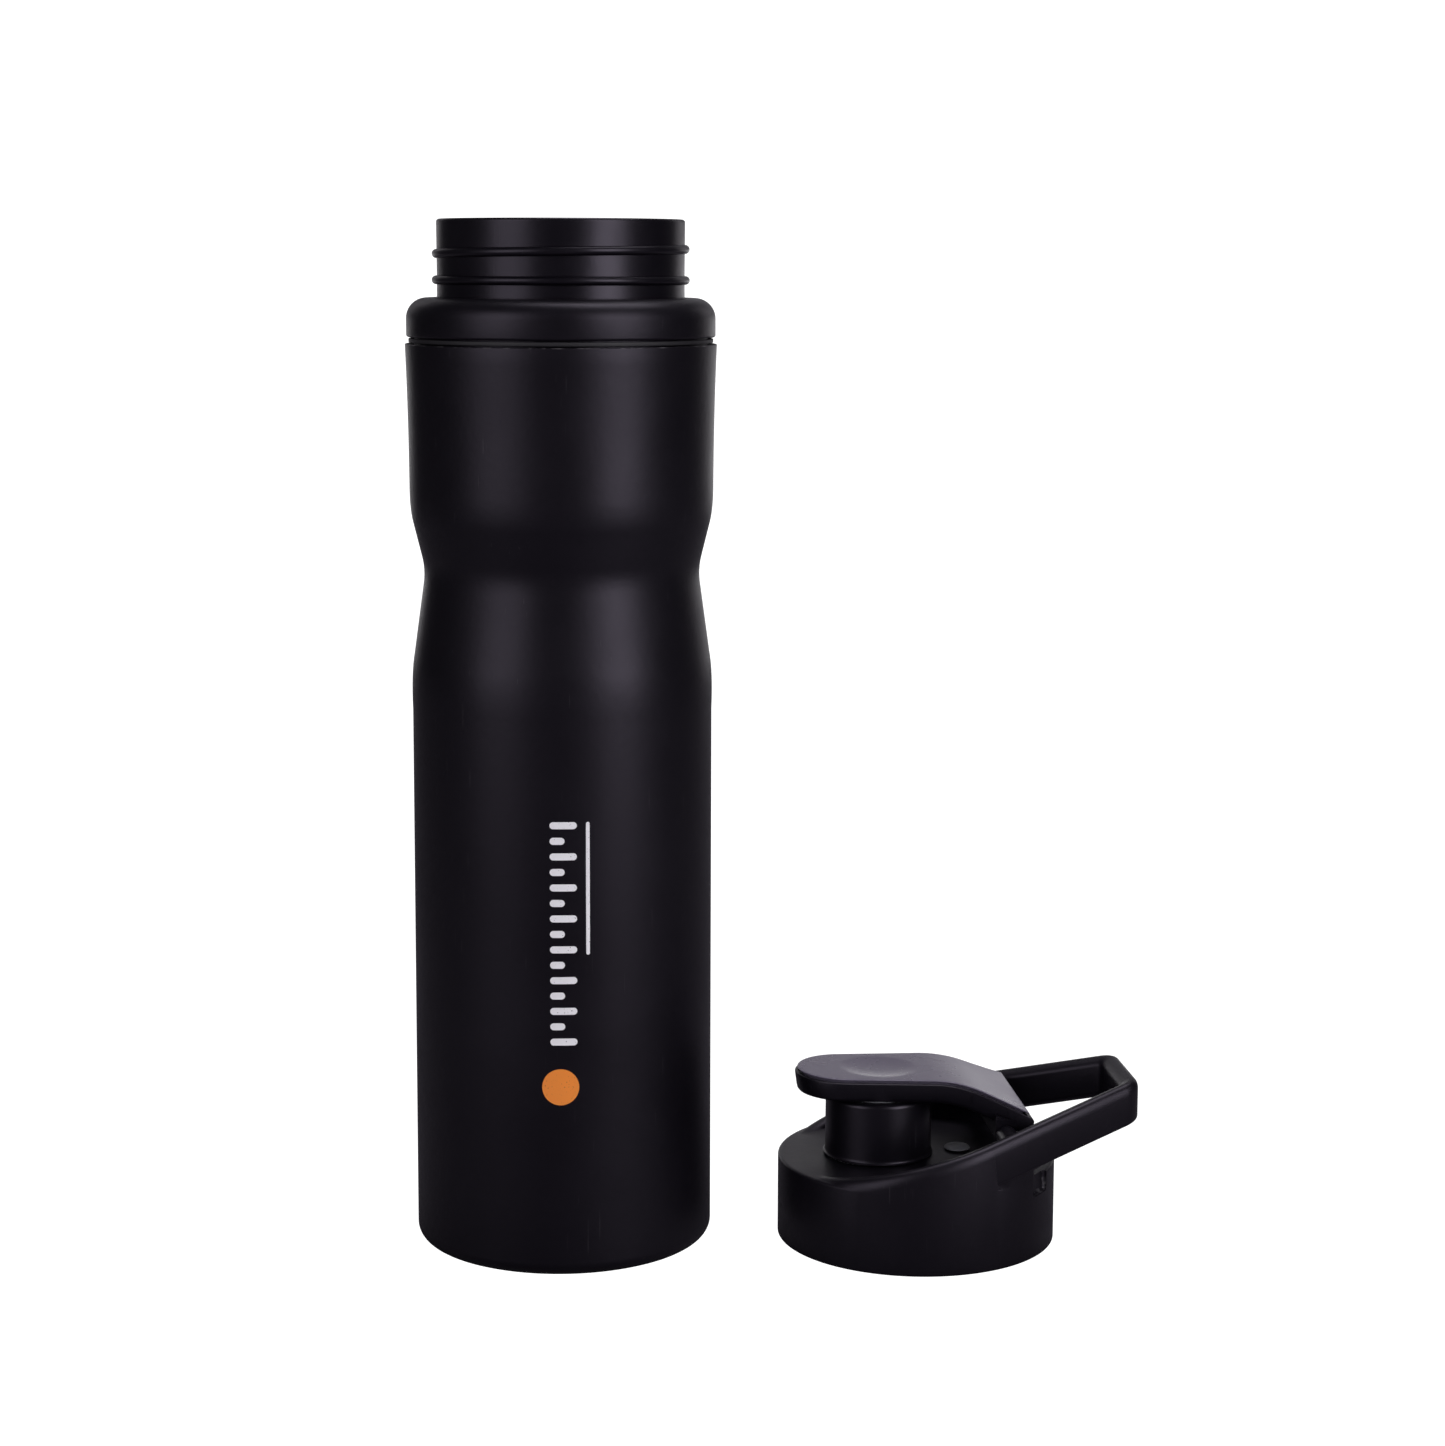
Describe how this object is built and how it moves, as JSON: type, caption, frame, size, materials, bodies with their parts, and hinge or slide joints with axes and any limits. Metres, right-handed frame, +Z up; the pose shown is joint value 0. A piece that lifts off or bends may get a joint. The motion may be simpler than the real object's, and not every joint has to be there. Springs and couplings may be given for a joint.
{
  "type": "shaker bottle",
  "caption": "Waisted black shaker bottle with an inner liner and a mixing ball; its screw cap, with a flip lid over a drinking spout and a carry loop, stands beside it.",
  "frame": {"origin": "centre of the bottle's base, on the surface it stands on", "axes": "+Z up the bottle's axis; +X from the bottle towards the cap that stands beside it"},
  "size_m": [0.1801, 0.0752, 0.251],
  "materials": {
    "coated_steel": "black powder coat, satin",
    "black_plastic": "moulded black, fine satin texture",
    "gloss_black": "moulded black, polished",
    "satin_inlay": "dark grey, soft satin",
    "natural_plastic": "natural, slightly cloudy",
    "silicone": "soft grey, matte",
    "steel_pin": "drawn wire"
  },
  "bodies": {
    "bottle": {"outer_shell": "coated_steel", "base_disc": "coated_steel", "liner_support": "silicone", "inner_liner": "natural_plastic", "liner_gasket": "silicone", "neck_ring": "gloss_black", "shoulder_collar": "black_plastic", "collar_seal": "silicone"},
    "agitator": {"mixing_ball": "natural_plastic"},
    "cap_seal": {"cap_gasket": "silicone"},
    "cap": {"cap_shell": "black_plastic", "cap_insert": "black_plastic", "spout": "gloss_black", "spout_seal": "silicone", "spout_lock_ring": "black_plastic", "vent_valve": "silicone", "hinge_pin": "steel_pin"},
    "lid": {"flip_lid": "black_plastic", "lid_panel": "satin_inlay", "lid_plug": "silicone"}
  },
  "joints": [
    {"name": "ball_travel", "type": "slide", "parent": "bottle", "child": "agitator", "axis": [0, 0, 1], "range_m": [0, 0.15]},
    {"name": "cap_lift", "type": "slide", "parent": "bottle", "child": "cap_seal", "axis": [0, 0, 1], "range_m": [0, 0.26]},
    {"name": "cap_turn", "type": "hinge", "parent": "cap_seal", "child": "cap", "pos_m": [0.0879, -0.0006, 0], "axis": [0, 0, 1], "range_deg": [-145, 135]},
    {"name": "lid_flip", "type": "hinge", "parent": "cap", "child": "lid", "pos_m": [0.10731, 0.00127, 0.0293], "axis": [-0.0958, 0.9954, 0], "range_deg": [0, 130]}
  ]
}
